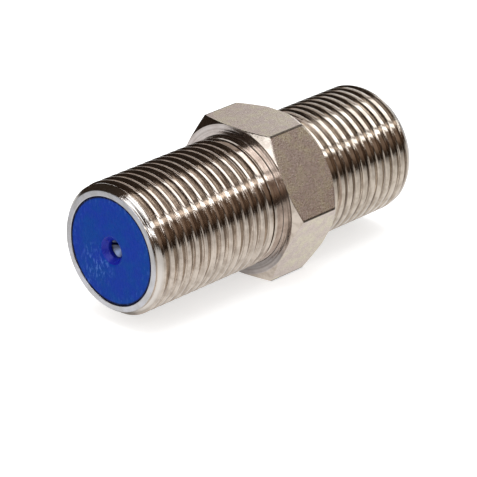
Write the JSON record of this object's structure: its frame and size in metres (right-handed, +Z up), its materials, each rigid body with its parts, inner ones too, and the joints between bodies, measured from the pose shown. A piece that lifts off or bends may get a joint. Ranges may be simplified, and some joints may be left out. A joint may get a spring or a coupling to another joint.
{
  "type": "female-to-female type F coaxial coupler",
  "caption": "Threaded hexagon coupler that joins two type F coaxial cable plugs, with a moulded insulator and a sprung centre contact at each port.",
  "frame": {"origin": "on the supporting plane, under the middle of the coupler's length", "axes": "+X along the coupler's axis from the front port (long barrel) to the rear port, +Z up from the hexagon flat that it rests on"},
  "size_m": [0.0256, 0.0126, 0.0109],
  "materials": {
    "nickel_plate": "bright nickel plate over turned brass, satin on the hexagon",
    "blue_plastic": "semi-gloss moulded royal blue plastic",
    "tinned_bronze": "bright tin plate over rolled phosphor bronze"
  },
  "bodies": {
    "root": {"shell": "nickel_plate", "front_insulator": "blue_plastic", "rear_insulator": "blue_plastic", "center_contact": "tinned_bronze"}
  },
  "joints": []
}
